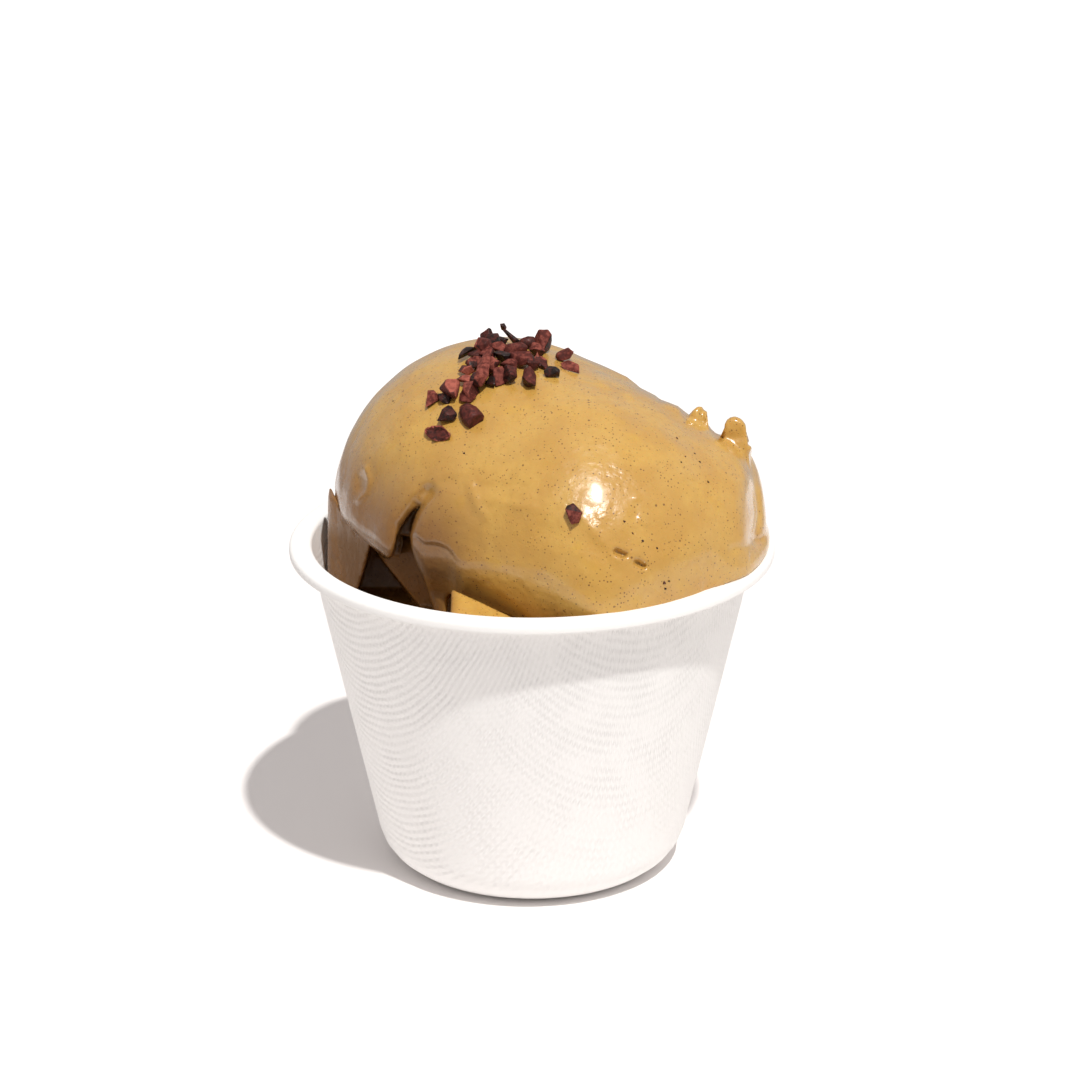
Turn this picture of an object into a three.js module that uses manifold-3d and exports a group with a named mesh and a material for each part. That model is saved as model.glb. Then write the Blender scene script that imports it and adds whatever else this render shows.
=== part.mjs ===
// A cup of sorbet: a white moulded-fibre cup, the scoop that fills it and a second scoop
// draped over the first. Millimetres, +Z up. The origin is the middle of the cup's underside,
// and -Y is the front, where the fold in the top scoop shows.
import * as THREE from 'three';
import { mergeVertices } from 'three/addons/utils/BufferGeometryUtils.js';
import Module from 'manifold-3d';

// ---- driving dimensions -------------------------------------------------------------------

const RIM_RADIUS = 46; // outside of the turned-down lip
const CUP_HEIGHT = 64.5;
const MOUTH_RADIUS = 42.2; // inner edge of the rim
const LIP_DROP = 2; // how far the lip hangs below the top of the rim
const PAPER = 1; // thickness of the wall, the rim and the lip
const NECK_RADIUS = 41.7; // outside of the wall, just under the rim
const SHOULDER = { radius: 40.1, height: 53.8 }; // where the wall turns a little steeper
const WALL_FOOT_RADIUS = 28.2; // where the wall's slope would meet the table
const FOOT_FILLET = 9;
const STANDING_RING_INSIDE = 17.5;
const UNDERSIDE_RECESS = 0.8;
const AROUND = 60; // facets around the cup
const FILLET_STEPS = 3;

const GAP = 0.3; // kept between pieces that touch

// The seam between the scoops is higher at the left and falls away towards the back.
const SEAM = { height: 65.5, slope: -0.174, backFall: 0.006 };
const SCOOP_DETAIL = 11; // subdivisions of each scoop's starting icosahedron
const LOWER_DETAIL = 10;
const HORN_DETAIL = 2;

// The top scoop is one folded sheet of sorbet: a round dome at the left and a broader lobe
// that runs down to the front and the right, each given by its centre and half sizes.
const LEFT_DOME = { centre: [-5.8, 2, 69], half: [32.2, 31, 34], power: 2 };
const RIGHT_LOBE = { centre: [9, -3, 61], half: [34, 38, 36.7], power: 2 };
const RIGHT_END = { centre: [25, 1, 65.5], half: [19.3, 27, 21.3], power: 2.6 };
const BACK_LOBE = { centre: [2, 11, 56], half: [36, 28.5, 34], power: 2 };
const SPATULA_FLAT = { normal: [0.46, 0, 0.89], through: [19, 0, 96] };
const LOBE_EDGE = { normal: [-0.93, -0.3, 0.22], through: [-23.5, -36, 74] };
const FLAT_BLEND = 7;
const EDGE_BLEND = 5;
const LOBE_BLEND = 4;
const LIP_BLEND = 2.5;
const SLUMP = { reach: 3.3, middle: -12, spread: 24 }; // over the rim, in mm and degrees
const SLUMP_CLEAR_RADIUS = 41.9;

// Two horns stand on the right end, where the spatula was pulled off.
const HORNS = [
  { centre: [38.6, 1, 79.5], half: [3, 5, 10] },
  { centre: [32.2, 2, 84], half: [1.6, 3, 7.5] },
];

// The fold's crease, as a pointed slot seen from the front: x, z and half width.
const CREASE = [
  { x: -25.2, z: 66, half: 2.1 },
  { x: -23.6, z: 77, half: 1.5 },
  { x: -18.5, z: 86, half: 0.3 },
];
const CREASE_FRONT = -46;
const CREASE_BACK = -23;

// The lower scoop fills the cup and stands up out of it as a blunt dome.
const LOWER_DOME = { centre: [1, 1, 46], half: [38.5, 38.5, 31], power: 2.6 };
// Its left side is swept up into a flap along the wall, between two angles in degrees.
const FLAP = { inside: 34, outside: 38.6, from: 163, to: 213, low: 54.5, high: 70.2 };
const CAVE = { centre: [-27, -25, 63], half: [5.5, 11, 14] }; // the hollow beside the flap

// ---- helpers ------------------------------------------------------------------------------

const wasm = await Module();
wasm.setup();

/** The geometry with its shared corners merged, so that it is one closed surface. */
function closed(geometry) {
  geometry.deleteAttribute('normal');
  geometry.deleteAttribute('uv');
  return mergeVertices(geometry, 1e-4);
}

function toSolid(geometry) {
  const vertProperties = new Float32Array(geometry.attributes.position.array);
  const triVerts = new Uint32Array(geometry.index.array);
  return new wasm.Manifold(new wasm.Mesh({ numProp: 3, vertProperties, triVerts }));
}

function toGeometry(solid) {
  const { vertProperties, triVerts } = solid.getMesh();
  const geometry = new THREE.BufferGeometry();
  geometry.setAttribute('position', new THREE.BufferAttribute(vertProperties, 3));
  geometry.setIndex(new THREE.BufferAttribute(triVerts, 1));
  return geometry;
}

/** Turns a profile of [radius, height] pairs about the Z axis. */
function turned(profile) {
  const points = profile.map(([radius, height]) => new THREE.Vector2(radius, height));
  return closed(new THREE.LatheGeometry(points, AROUND).rotateX(Math.PI / 2));
}

/** Points of an arc from one angle to another, in degrees, both ends included. */
function arc([cx, cy], radius, from, to, steps) {
  return Array.from({ length: steps + 1 }, (_, i) => {
    const angle = THREE.MathUtils.degToRad(from + ((to - from) * i) / steps);
    return [cx + radius * Math.cos(angle), cy + radius * Math.sin(angle)];
  });
}

// ---- fields: signed distances, negative inside ----------------------------------------------

const dot = (a, b) => a[0] * b[0] + a[1] * b[1] + a[2] * b[2];
const polar = ([x, y]) => [Math.hypot(x, y), THREE.MathUtils.radToDeg(Math.atan2(y, x))];

/** A superellipsoid: power 2 is an ellipsoid, and more makes it boxier. */
function mound({ centre, half, power }) {
  return (p) => {
    const q = p.map((v, i) => Math.abs(v - centre[i]) / half[i] + 1e-9);
    const reach = q.reduce((sum, v) => sum + v ** power, 0) ** (1 / power);
    const steepness = Math.hypot(...q.map((v, i) => v ** (power - 1) / half[i]));
    return (reach - 1) / (steepness * reach ** (1 - power));
  };
}

function plane({ normal, through }) {
  const length = Math.hypot(...normal);
  return (p) => dot(p.map((v, i) => v - through[i]), normal) / length;
}

/** The join of two fields, rounded over about the given width. */
function join(a, b, blend) {
  return (p) => {
    const [da, db] = [a(p), b(p)];
    const h = THREE.MathUtils.clamp(0.5 + (0.5 * (db - da)) / blend, 0, 1);
    return db * (1 - h) + da * h - blend * h * (1 - h);
  };
}

/** What two fields have in common, rounded in the same way. */
function common(a, b, blend) {
  const inverse = join((p) => -a(p), (p) => -b(p), blend);
  return (p) => -inverse(p);
}

/** Grows an icosahedron from a heart point until each corner meets the field's surface. */
function grown(heart, field, detail) {
  const geometry = closed(new THREE.IcosahedronGeometry(1, detail));
  const position = geometry.attributes.position;
  const ray = new THREE.Vector3();
  const step = 0.5;
  for (let i = 0; i < position.count; i++) {
    ray.fromBufferAttribute(position, i).normalize();
    const at = (t) => [heart[0] + ray.x * t, heart[1] + ray.y * t, heart[2] + ray.z * t];
    let outside = step;
    while (field(at(outside)) < 0) outside += step;
    let inside = outside - step;
    for (let halving = 0; halving < 20; halving++) {
      const middle = (inside + outside) / 2;
      if (field(at(middle)) < 0) inside = middle;
      else outside = middle;
    }
    position.setXYZ(i, ...at(inside));
  }
  return geometry;
}

// ---- the cup --------------------------------------------------------------------------------

/** Outer radius of the wall at a height, without the foot's fillet. */
function wallRadius(z) {
  const { radius, height } = SHOULDER;
  if (z <= height) return WALL_FOOT_RADIUS + ((radius - WALL_FOOT_RADIUS) * z) / height;
  return radius + ((NECK_RADIUS - radius) * (z - height)) / (CUP_HEIGHT - LIP_DROP - height);
}

/** The rounded corner between the floor at a height and the wall, moved in by an offset. */
function footCurve(floor, offset, fillet, steps) {
  const lean = Math.atan((SHOULDER.radius - WALL_FOOT_RADIUS) / SHOULDER.height);
  const setback = fillet * Math.tan((Math.PI / 2 - lean) / 2);
  const centre = [wallRadius(floor) - offset - setback, floor + fillet];
  return arc(centre, fillet, -90, -THREE.MathUtils.radToDeg(lean), steps);
}

/** The cup's floor, foot and wall, up to the shoulder. */
function bowlGeometry() {
  const { radius, height } = SHOULDER;
  const floor = UNDERSIDE_RECESS + PAPER;
  return turned([
    [0, UNDERSIDE_RECESS],
    [STANDING_RING_INSIDE - 1, UNDERSIDE_RECESS],
    [STANDING_RING_INSIDE, 0],
    ...footCurve(0, 0, FOOT_FILLET, FILLET_STEPS),
    [radius, height],
    [radius - PAPER, height],
    ...footCurve(floor, PAPER, FOOT_FILLET - PAPER, FILLET_STEPS).reverse(),
    [0, floor],
  ]);
}

/** The band above the shoulder, the flat rim around the mouth and its turned-down lip. */
function rimGeometry() {
  const foot = SHOULDER.height + GAP;
  const underRim = CUP_HEIGHT - PAPER;
  const lip = CUP_HEIGHT - LIP_DROP;
  return turned([
    [wallRadius(foot), foot],
    [NECK_RADIUS, lip],
    [NECK_RADIUS + 0.3, underRim],
    [RIM_RADIUS - PAPER, underRim],
    [RIM_RADIUS - PAPER, lip],
    [RIM_RADIUS, lip],
    [RIM_RADIUS, CUP_HEIGHT],
    [MOUTH_RADIUS, CUP_HEIGHT],
    [NECK_RADIUS - PAPER, lip],
    [wallRadius(foot) - PAPER, foot],
    [wallRadius(foot), foot],
  ]);
}

// ---- the sorbet -----------------------------------------------------------------------------

/** Outside the space in the cup, and over its rim, that the sorbet may take. */
function beyondCup(p) {
  const [radius, angle] = polar(p);
  const inWall = radius - (wallRadius(Math.min(p[2], CUP_HEIGHT)) - PAPER - GAP);
  const slump = SLUMP.reach * Math.exp(-(((angle - SLUMP.middle) / SLUMP.spread) ** 4));
  const overRim = Math.max(radius - SLUMP_CLEAR_RADIUS - slump, CUP_HEIGHT + GAP - p[2]);
  return Math.min(inWall, overRim);
}

/** How far a point is above the seam between the scoops. */
function overSeam([x, y, z]) {
  const seam = SEAM.height + SEAM.slope * x - SEAM.backFall * Math.max(y, 0) ** 2;
  return (z - seam) / Math.hypot(1, SEAM.slope);
}

function topScoopGeometry() {
  let lobe = common(mound(RIGHT_LOBE), plane(SPATULA_FLAT), FLAT_BLEND);
  lobe = common(lobe, plane(LOBE_EDGE), EDGE_BLEND);
  let scoop = join(mound(LEFT_DOME), lobe, LOBE_BLEND);
  scoop = join(scoop, mound(RIGHT_END), LOBE_BLEND);
  scoop = join(scoop, mound(BACK_LOBE), LOBE_BLEND);
  scoop = common(scoop, beyondCup, 1);
  scoop = common(scoop, (p) => GAP / 2 - overSeam(p), LIP_BLEND);
  let solid = toSolid(grown([2, 0, 78], scoop, SCOOP_DETAIL));
  for (const { centre, half } of HORNS) {
    const horn = closed(new THREE.IcosahedronGeometry(1, HORN_DETAIL));
    solid = solid.add(toSolid(horn.scale(...half).translate(...centre)));
  }
  return toGeometry(solid.subtract(creaseSolid()).subtract(rimClearance()));
}

/** The crease as a slot: its outline in X and Z, extruded along Y. */
function creaseSolid() {
  const left = CREASE.map(({ x, z, half }) => new THREE.Vector2(x - half, z));
  const right = CREASE.map(({ x, z, half }) => new THREE.Vector2(x + half, z)).reverse();
  const outline = new THREE.Shape([...left, ...right]);
  const depth = CREASE_BACK - CREASE_FRONT;
  const slot = new THREE.ExtrudeGeometry(outline, { depth, bevelEnabled: false });
  return toSolid(closed(slot.rotateX(Math.PI / 2).translate(0, CREASE_BACK, 0)));
}

/** The rim and the wall under it, a gap larger, which the sorbet over them keeps clear of. */
function rimClearance() {
  const low = CUP_HEIGHT - 6;
  const lip = CUP_HEIGHT - LIP_DROP;
  const top = CUP_HEIGHT + GAP;
  const clear = (z) => [wallRadius(z) - PAPER - GAP, z];
  const outside = RIM_RADIUS + GAP;
  const mouth = [MOUTH_RADIUS - GAP, top];
  return toSolid(
    turned([clear(low), [outside, low], [outside, top], mouth, clear(lip), clear(low)]),
  );
}

function lowerScoopGeometry() {
  const floor = UNDERSIDE_RECESS + PAPER + GAP;
  const dome = mound(LOWER_DOME);
  let scoop = ([x, y, z]) => dome([x, y, Math.max(z, LOWER_DOME.centre[2])]);
  scoop = common(scoop, (p) => overSeam(p) + GAP / 2, 1);
  scoop = common(scoop, beyondCup, 1);
  scoop = common(scoop, ([, , z]) => floor - z, FOOT_FILLET + 3);
  const cave = closed(new THREE.IcosahedronGeometry(1, 4));
  const hollow = toSolid(cave.scale(...CAVE.half).translate(...CAVE.centre));
  const solid = toSolid(grown([2, 2, 36], scoop, LOWER_DETAIL));
  return toGeometry(solid.add(flapSolid()).subtract(hollow));
}

/** The flap as a piece of a ring, extruded up. */
function flapSolid() {
  const { inside, outside, from, to, low, high } = FLAP;
  const corners = [...arc([0, 0], outside, from, to, 8), ...arc([0, 0], inside, to, from, 8)];
  const outline = new THREE.Shape(corners.map(([x, y]) => new THREE.Vector2(x, y)));
  const wall = new THREE.ExtrudeGeometry(outline, { depth: high - low, bevelEnabled: false });
  return toSolid(closed(wall.translate(0, 0, low)));
}

// ---- the scene ------------------------------------------------------------------------------

function piece(name, geometry, colour, roughness) {
  const material = new THREE.MeshStandardMaterial({ color: colour, roughness, metalness: 0 });
  const mesh = new THREE.Mesh(geometry, material);
  mesh.name = name;
  return mesh;
}

const FIBRE_WHITE = 0xfaf7f2;
const SORBET_SHADE = 0xb78a45;
const SORBET_LIGHT = 0xc8984e;

const cupOfSorbet = new THREE.Group();
cupOfSorbet.add(
  piece('cup', bowlGeometry(), FIBRE_WHITE, 0.85),
  piece('cup_rim', rimGeometry(), FIBRE_WHITE, 0.85),
  piece('sorbet_lower_scoop', lowerScoopGeometry(), SORBET_SHADE, 0.4),
  piece('sorbet_top_scoop', topScoopGeometry(), SORBET_LIGHT, 0.35),
);

export default cupOfSorbet;
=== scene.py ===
"""A cup of sorbet: a moulded-fibre cup, a folded scoop on a lower one, and cacao nibs.

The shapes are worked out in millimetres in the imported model's frame, +Z up and -Y to the
front, and turned into metres when a mesh is made.
"""

import math
import random

import bmesh
import bpy
import numpy as np
from mathutils import Matrix, Vector
from mathutils.bvhtree import BVHTree


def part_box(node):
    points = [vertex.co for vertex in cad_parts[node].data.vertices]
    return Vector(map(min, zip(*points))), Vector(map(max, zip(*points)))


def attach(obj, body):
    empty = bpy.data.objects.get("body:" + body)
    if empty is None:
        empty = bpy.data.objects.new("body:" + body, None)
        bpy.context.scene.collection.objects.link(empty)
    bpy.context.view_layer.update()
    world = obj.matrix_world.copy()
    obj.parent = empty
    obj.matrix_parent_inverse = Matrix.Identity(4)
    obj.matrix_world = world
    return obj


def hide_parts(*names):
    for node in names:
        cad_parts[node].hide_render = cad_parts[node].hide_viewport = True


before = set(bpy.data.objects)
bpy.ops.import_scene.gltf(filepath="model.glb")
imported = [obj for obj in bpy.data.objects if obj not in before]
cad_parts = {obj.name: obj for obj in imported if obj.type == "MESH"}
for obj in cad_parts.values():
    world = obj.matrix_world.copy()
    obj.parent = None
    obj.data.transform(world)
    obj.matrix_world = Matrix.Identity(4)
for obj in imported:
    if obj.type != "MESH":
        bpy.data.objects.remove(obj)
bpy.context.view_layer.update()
CUP_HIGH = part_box("cup_rim")[1]

bl_info = {
    "name": "Cup of Sorbet",
    "version": (1, 0, 0),
    "blender": (4, 5, 0),
    "location": "3D View > Sidebar > Sorbet",
    "description": "A moulded-fibre cup of folded sorbet with cacao nibs on top",
    "category": "Object",
}

MM = 0.001
BODY = "root"

# ---- the cup, in millimetres ----

RIM_RADIUS = CUP_HIGH.x / MM
CUP_HEIGHT = CUP_HIGH.z / MM
MOUTH_RADIUS = 42.4
MOUTH_EDGE = 0.6
MOUTH_EDGE_HEIGHTS = (63.2, 64.4)
LIP_DROP = 2.0
PAPER = 1.0
NECK_RADIUS = 41.7
SHOULDER_RADIUS = 40.1
SHOULDER_HEIGHT = 53.8
WALL_FOOT_RADIUS = 28.2
FOOT_FILLET = 9.0
AXIS_GAP = 0.01
CUP_SIDES = 240
STANDING_RING_INSIDE = 17.5
UNDERSIDE_RECESS = 0.8

# The print of the woven cloth: its pitch, the height at its middle, its stretch and its turn.
CLOTH_PITCH = 1.6
CLOTH_MIDDLE = 24.0
CLOTH_STRETCH = 1.024
CLOTH_TURN = math.radians(211.5)

# ---- the scoops, in millimetres ----

GAP = 0.3
CLING = 0.1  # how far the sorbet sinks into what it touches
# A mound is its centre, its half sizes and its power; a plane is its normal and a point on it.
LEFT_DOME = ((-5.8, 8, 68), (32.2, 37, 32))
LEFT_BACK = ((-5.8, 12, 68), (30.7, 34, 25), 2.6)
RIGHT_LOBE = ((9, -3, 61), (34, 38, 36.7))
LOBE_CORNER = ((-9, -9, 64), (20, 22, 20.5), 2.8)
RIGHT_END = ((25, 1, 65.5), (19.3, 27, 21.3), 2.6)
BACK_LOBE = ((2, 11, 56), (36, 28.5, 34))
LOWER_DOME = ((1, 1, 46), (36, 36, 31), 2.3)
LEDGE = ((0.297, -0.35, 0.889), (-14.5, -31, 66.1))
LEDGE_BACK = ((0.21, 0.978, 0), (-14.5, -31, 66.1))
LEDGE_LEFT, LEDGE_RIGHT, LEDGE_FOOT = -14.6, 0.0, 50.0
HOLLOW = ((-0.5, -0.866, 0), (-11.5, -20, 60))
HOLLOW_FLOOR = 56.5
SPATULA_FLAT = ((0.46, 0, 0.89), (19, 0, 96))
LOBE_EDGE = ((-0.93, -0.30, 0.22), (-23.5, -36, 74))
LOBE_FACET = ((-0.45, -0.88, 0.15), (-15, -26, 84))
END_FACET = ((0.93, -0.31, 0.18), (39.4, -16, 75))
FOOT_ROLL = (43.2, 65.7, 1.7, -18, 26)
SEAM_HEIGHT, SEAM_SLOPE, SEAM_BACK_FALL = 65.5, -0.174, 0.006
SEAM_DIP_FROM, SEAM_DIP_LENGTH, SEAM_DIP = -19.5, 5.0, 6.0
SEAM_DIP_FRONT = 20.0  # how far to the front the dip is full
SLUMP_REACH, SLUMP_MIDDLE, SLUMP_SPREAD = 3.3, -12.0, 24.0
SLUMP_CLEAR_RADIUS = 42.2
FLAP_FACE = ((-0.862, -0.508, 0.05), (-36.8, -2.2, 66))
FLAP_THICK = 4.5
FLAP_END = ((0.967, -0.086, -0.24), (-30.1, -16.6, 68.5))
FLAP_LEFT = ((-1, 0, 0.02), (-38.9, 0, 66))
FLAP_TOP = ((-0.35, 0, 0.94), (-38.1, 0, 72.5))
FLAP_BACK = 14.0
FLAP_UNDER_DOME = 2.5  # how far the flap runs under the dome's edge
FOOT_BLEND = FOOT_FILLET + 3
TOP_UNEVEN, LOWER_UNEVEN = 0.12, 0.1  # how far the faces wander

# ---- the nibs ----
# Where each shows, across and down in the photograph; its length, width and height in mm; the
# turn of its length, clockwise from the right as seen; its lift off the sorbet in mm; how red it
# is, from 0 for dark skin to 1 for a pale broken face; and its kind, where it isn't a chunk.

NIBS = (
    ((437, 433), (5.4, 2.9, 1.7), 14, 0.1, 0.45, "boat"),
    ((447, 415.4), (3.5, 3.5, 2.4), 10, 0, 0.14),
    ((468.8, 411.8), (4.6, 3.4, 2.6), 50, 0.2, 0.34, "dome"),
    ((431.8, 399), (3.7, 2.1, 1.9), 112, 0, 0.6),
    ((453, 389.4), (3.9, 3.6, 2.6), 50, 0.5, 0.95),
    ((446.4, 397.4), (2.9, 2.5, 1.6), 60, -0.2, 0.05),
    ((465, 379), (3.8, 2, 1.3), 5, 0.6, 0.85, "flake"),
    ((465, 369.5), (2.6, 2, 1.6), 10, 0.4, 1),
    ((484, 371), (7.4, 2.7, 2.6), 112, 1.2, 0.6, "rod"),
    ((470, 389), (4.4, 2.8, 2.2), 105, 0.3, 0.62),
    ((466, 397.5), (3, 2.2, 1.6), 20, 0, 0.45),
    ((472, 363.5), (2.8, 2.4, 2), 80, 0.5, 0.55),
    ((484, 345), (4, 3, 2.4), 30, 1.6, 0.97),
    ((468.5, 352.5), (4.2, 2.2, 2.2), 118, 0.2, 0.12),
    ((477, 355), (3.2, 2.4, 2), 20, 0.4, 0.3),
    ((488, 336.5), (3, 2.4, 2.4), 60, 0.8, 0.3),
    ((495, 341), (4.2, 2.6, 2.2), 40, 0.8, 0.34),
    ((501, 341.5), (2.8, 2.4, 2), 20, 0.6, 0.04),
    ((500, 349), (3, 2.2, 2), 30, 0.9, 0.62),
    ((514, 348.5), (4.8, 2.6, 2), 170, 1.2, 0.42),
    ((503.5, 357), (3.2, 2.4, 2.2), 30, 0.7, 0.1),
    ((521.5, 357.5), (4.6, 3, 2), 15, 1, 0.45),
    ((493.5, 364.5), (3.4, 2.6, 2.2), 60, 0.9, 0.68),
    ((509, 364.5), (3.4, 2.6, 2.2), 20, 0.6, 0.5),
    ((499.5, 375), (3.4, 2.8, 2.2), 60, 0.5, 0.5),
    ((510, 374), (3.2, 2.8, 2.4), 110, 0.5, 0.28),
    ((492.5, 381), (2.6, 2, 1.6), 120, 0, 0.04),
    ((526, 341.5), (2.8, 2.2, 1.8), 0, 0.5, 0.25, "dome"),
    ((542, 342), (4.6, 3.3, 2.8), 100, 0.7, 0.5),
    ((535.5, 350), (3, 2.6, 2), 60, 0.3, 0.55),
    ((542, 361.5), (4.4, 2.3, 1.4), 48, 0.6, 0.42, "boat"),
    ((532, 362.5), (2.8, 2.4, 2), 60, 0.6, 0.33),
    ((530, 377.5), (5.2, 2.5, 2.2), 100, 0.2, 0.4, "rod"),
    ((551, 371.8), (2.7, 2.4, 1.9), 0, 0, 0.04),
    ((564.5, 354.5), (3.6, 3, 2.4), 140, 0.2, 0.45),
    ((571.8, 366.3), (3.8, 2.2, 1.4), 27, 0.2, 0.6, "flake"),
    ((478, 380), (3.4, 2.4, 2), 100, 0.3, 0.4),
    ((487, 356), (3.4, 2.8, 2.2), 100, 0.6, 0.5),
    ((480, 362), (3, 2.6, 2), 30, 0.4, 0.6),
    ((575.5, 514.5), (3.4, 2.6, 2), 80, 0, 0.5),
)
STALK = {"pixel": (510.5, 336.5), "size": (3.6, 1.3, 1.3), "turn": 225, "height": 1.6}
STALK_HEAD = {"pixel": (503.3, 327), "size": (1.7, 1.5, 1.5), "height": 3.1}
STALK_TINT, DARK_TINT = 0.1, 0.2
NIB_SUNK = 0.35  # the share of a nib's height from the sorbet to its middle

# Larger ground specks that show in the sorbet: where, and their size in mm.
SPECKS = (
    (393, 401, 0.4), (396, 501, 0.4), (464, 453, 0.5), (526, 552, 0.5), (599, 568, 0.6),
    (624.3, 521.2, 0.5), (632.5, 533, 0.45), (642.8, 540.7, 0.5), (656.9, 548.3, 0.5),
    (664, 583, 0.8), (668.8, 581, 0.6), (665, 588.5, 0.6), (654.7, 574.4, 0.4),
    (695.4, 589, 0.45), (722, 505.5, 0.4), (727.4, 517.4, 0.4), (733.3, 492.5, 0.5),
    (687.2, 526, 0.4), (677.3, 438.4, 0.6), (682.6, 436.5, 0.5), (687.4, 441.2, 0.5),
    (694.5, 453.7, 0.45), (685.5, 456.6, 0.4), (681, 462.3, 0.45), (699.8, 461.8, 0.45),
    (689, 475.7, 0.6), (708, 482, 0.5),
)
SPECK_SHAPE, SPECK_LIFT, SPECK_TURN = (1, 0.8, 0.5), 0.02, 40

# ---- the photograph's camera ----

PICTURE = 1080
FOCAL_PIXELS = 3689.0
CAMERA_DISTANCE = 700.0
CAMERA_ELEVATION = math.radians(19.728)
AIM = (1.54, 0.0, 64.1)
FORWARD = (0.0, math.cos(CAMERA_ELEVATION), -math.sin(CAMERA_ELEVATION))
UPWARD = (0.0, math.sin(CAMERA_ELEVATION), math.cos(CAMERA_ELEVATION))
EYE = tuple(a - CAMERA_DISTANCE * f for a, f in zip(AIM, FORWARD))
PIXEL = 0.18  # millimetres to a pixel at the front of the sorbet


# ---- fields: distances in millimetres, negative inside ----
# A point is (x, y, z), each a number or an array; arrays may be a lattice's three axes.


def mound(p, centre, half, power=2.0):
    """A superellipsoid. Power 2 is an ellipsoid, and more makes it boxier."""
    q = [np.abs(c - o) / h + 1e-9 for c, o, h in zip(p, centre, half)]
    reach = sum(v**power for v in q) ** (1 / power)
    steep = np.sqrt(sum((v ** (power - 1) / h) ** 2 for v, h in zip(q, half)))
    return (reach - 1) * reach ** (power - 1) / steep


def plane(p, normal, through):
    length = math.sqrt(sum(n * n for n in normal))
    return sum((c - o) * n for c, o, n in zip(p, through, normal)) / length


def join(a, b, blend):
    h = np.clip(0.5 + 0.5 * (b - a) / blend, 0, 1)
    return b * (1 - h) + a * h - blend * h * (1 - h)


def common(a, b, blend):
    return -join(-a, -b, blend)


def cut(a, b, blend):
    return -join(-a, b, blend)


def seen(p):
    """Where a point shows in the photograph, across and down, and its depth past the aim."""
    x, y, z = (c - e for c, e in zip(p, EYE))
    depth = FORWARD[1] * y + FORWARD[2] * z
    rise = UPWARD[1] * y + UPWARD[2] * z
    across = PICTURE / 2 + FOCAL_PIXELS * x / depth
    down = PICTURE / 2 - FOCAL_PIXELS * rise / depth
    return across, down, depth - CAMERA_DISTANCE


def from_path(across, down, path):
    """Distance in mm, as seen, from a line through pixels."""
    nearest = None
    for (ax, ay), (bx, by) in zip(path, path[1:]):
        dx, dy = bx - ax, by - ay
        along = ((across - ax) * dx + (down - ay) * dy) / (dx * dx + dy * dy)
        along = np.clip(along, 0, 1)
        away = np.hypot(across - ax - along * dx, down - ay - along * dy) * PIXEL
        nearest = away if nearest is None else np.minimum(nearest, away)
    return nearest


def over_line(across, down, line):
    """Distance in mm, as seen, up from a line of pixels given from left to right."""
    return (np.interp(across, *zip(*line)) - down) * PIXEL


def waves(p, length, seed, count=14):
    """A soft uneven field from about -1 to 1, made of seeded sine waves of about a length."""
    rng = random.Random(seed)
    total = 0
    for _ in range(count):
        way = Vector([rng.gauss(0, 1) for _ in range(3)]).normalized()
        pace = 2 * math.pi / (length * rng.uniform(0.7, 1.5))
        turn = rng.uniform(0, 2 * math.pi)
        phase = sum(c * w * pace for c, w in zip(p, way))
        total = total + np.sin(phase + turn)
    return total * (1.4 / count)


def bell(distance, width):
    return np.exp(-((distance / width) ** 2))


def rise(value, low, high):
    """From 0 at low to 1 at high, with soft ends."""
    t = np.clip((value - low) / (high - low), 0, 1)
    return t * t * (3 - 2 * t)


# ---- the sorbet's fields ----


def wall_radius(z):
    """Outer radius of the cup's wall at a height, without the foot's fillet."""
    lower = WALL_FOOT_RADIUS + (SHOULDER_RADIUS - WALL_FOOT_RADIUS) * z / SHOULDER_HEIGHT
    band = CUP_HEIGHT - LIP_DROP - SHOULDER_HEIGHT
    upper = SHOULDER_RADIUS + (NECK_RADIUS - SHOULDER_RADIUS) * (z - SHOULDER_HEIGHT) / band
    return np.where(z <= SHOULDER_HEIGHT, lower, upper)


def inner_radius(z):
    """Inner radius of the cup, out to the rounded edge of its mouth."""
    low = wall_radius(z) - PAPER
    slope = (MOUTH_RADIUS - MOUTH_EDGE - SHOULDER_RADIUS + PAPER) / (CUP_HEIGHT - SHOULDER_HEIGHT)
    high = SHOULDER_RADIUS - PAPER + slope * (z - SHOULDER_HEIGHT)
    return np.where(z <= SHOULDER_HEIGHT, low, high) + MOUTH_EDGE * rise(z, *MOUTH_EDGE_HEIGHTS)


def beyond_cup(p):
    """Outside the space in the cup, and over its rim, that the sorbet takes."""
    x, y, z = p
    radius = np.hypot(x, y)
    angle = np.degrees(np.arctan2(y, x))
    in_wall = radius - inner_radius(np.minimum(z, CUP_HEIGHT)) - CLING
    slump = SLUMP_REACH * np.exp(-(((angle - SLUMP_MIDDLE) / SLUMP_SPREAD) ** 4))
    over_rim = np.maximum(radius - SLUMP_CLEAR_RADIUS - slump, CUP_HEIGHT - CLING - z)
    return np.minimum(in_wall, over_rim)


def over_seam(p):
    """Height over the surface where the two scoops meet."""
    x, y, z = p
    dip = SEAM_DIP * rise(x, SEAM_DIP_FROM, SEAM_DIP_FROM + SEAM_DIP_LENGTH)
    dip = dip * rise(-y, 0, SEAM_DIP_FRONT)
    seam = SEAM_HEIGHT + SEAM_SLOPE * x - SEAM_BACK_FALL * np.maximum(y, 0) ** 2 - dip
    return (z - seam) / math.hypot(1, SEAM_SLOPE)


# Lines on the sorbet, as the photograph shows them, in its pixels.

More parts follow.
